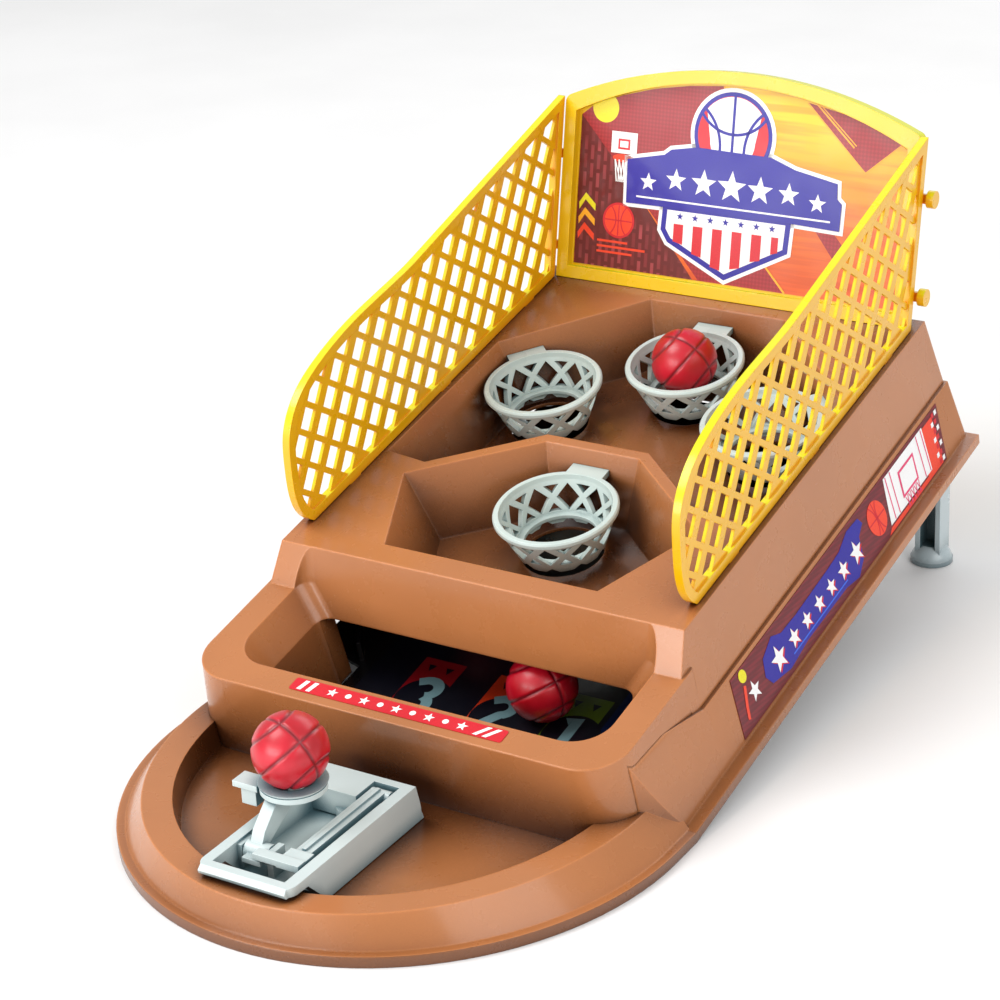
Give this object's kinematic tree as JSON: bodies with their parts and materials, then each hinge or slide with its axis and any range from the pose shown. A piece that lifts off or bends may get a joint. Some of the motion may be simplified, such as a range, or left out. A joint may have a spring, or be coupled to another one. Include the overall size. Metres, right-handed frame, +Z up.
{
  "type": "basketball hoop machine",
  "caption": "Tabletop finger-basketball game: a spring throwing arm in a front tray flicks small balls at hoops set in an inclined deck with a backboard and guards.",
  "frame": {"origin": "on the table under the middle of the toy's bounding box", "axes": "+X to the player's right, +Y from the player to the backboard, +Z up"},
  "size_m": [0.172, 0.3107, 0.1628],
  "materials": {
    "body_plastic": "semi-gloss orange-brown",
    "guard_plastic": "glossy yellow",
    "board_plastic": "glossy lemon yellow",
    "hoop_plastic": "glossy pale grey-green",
    "launcher_plastic": "glossy white",
    "ball_plastic": "glossy crimson",
    "leg_plastic": "satin silver grey",
    "ramp_plastic": "black",
    "board_print": "glossy printed sheet",
    "side_print": "glossy printed sheet",
    "rim_print": "glossy printed sheet",
    "lane_print": "glossy printed sheet",
    "screw_steel": "bright screw steel"
  },
  "bodies": {
    "machine": {"upper_shell": "body_plastic", "base_tray": "body_plastic", "return_ramp": "ramp_plastic", "ramp_screws": "screw_steel", "hoop_front": "hoop_plastic", "hoop_left": "hoop_plastic", "hoop_right": "hoop_plastic", "hoop_rear": "hoop_plastic", "guard_right": "guard_plastic", "guard_left": "guard_plastic", "backboard": "board_plastic", "backboard_sticker": "board_print", "guard_clips_right": "guard_plastic", "guard_clips_left": "guard_plastic", "leg_right": "leg_plastic", "leg_left": "leg_plastic", "side_sticker_right": "side_print", "side_sticker_left": "side_print", "rim_sticker": "rim_print", "lane_sticker": "lane_print", "pivot_screw": "screw_steel"},
    "launcher": {"launcher_base": "launcher_plastic", "arm_axle": "launcher_plastic", "lever_pin": "launcher_plastic"},
    "throw_arm": {"throw_arm": "launcher_plastic"},
    "press_lever": {"press_lever": "launcher_plastic"},
    "ball_in_cup": {"ball_cup": "ball_plastic"},
    "ball_in_hoop": {"ball_hoop": "ball_plastic"},
    "ball_on_ramp": {"ball_ramp": "ball_plastic"},
    "ball_in_channel": {"ball_channel": "ball_plastic"}
  },
  "joints": [
    {"name": "launcher_swivel", "type": "hinge", "parent": "machine", "child": "launcher", "pos_m": [-0.0014, -0.09396, 0.005], "axis": [0, 0, 1], "range_deg": [-18, 18]},
    {"name": "throw_arm_hinge", "type": "hinge", "parent": "launcher", "child": "throw_arm", "pos_m": [-0.0074, -0.12896, 0.0136], "axis": [1, 0, 0], "range_deg": [0, 50], "stiffness_Nm_per_rad": 0.004, "springref_deg": -34.38},
    {"name": "press_lever_hinge", "type": "hinge", "parent": "launcher", "child": "press_lever", "pos_m": [0.0063, -0.09046, 0.0146], "axis": [1, 0, 0], "range_deg": [0, 5.2]},
    {"name": "ball_cup_lift", "type": "slide", "parent": "throw_arm", "child": "ball_in_cup", "axis": [0, 0, 1], "range_m": [0, 0.06]},
    {"name": "ball_hoop_drop", "type": "slide", "parent": "machine", "child": "ball_in_hoop", "axis": [0, 0.2079, -0.9781], "range_m": [0, 0.0293]},
    {"name": "ball_ramp_roll", "type": "slide", "parent": "machine", "child": "ball_on_ramp", "axis": [0, -0.9781, -0.2079], "range_m": [0, 0.022]},
    {"name": "ball_channel_roll", "type": "slide", "parent": "machine", "child": "ball_in_channel", "axis": [0, -0.9781, -0.2079], "range_m": [0, 0.05]}
  ],
  "couplings": [
    {"joint": "press_lever_hinge", "follows": "throw_arm_hinge", "ratio": 0.1}
  ]
}
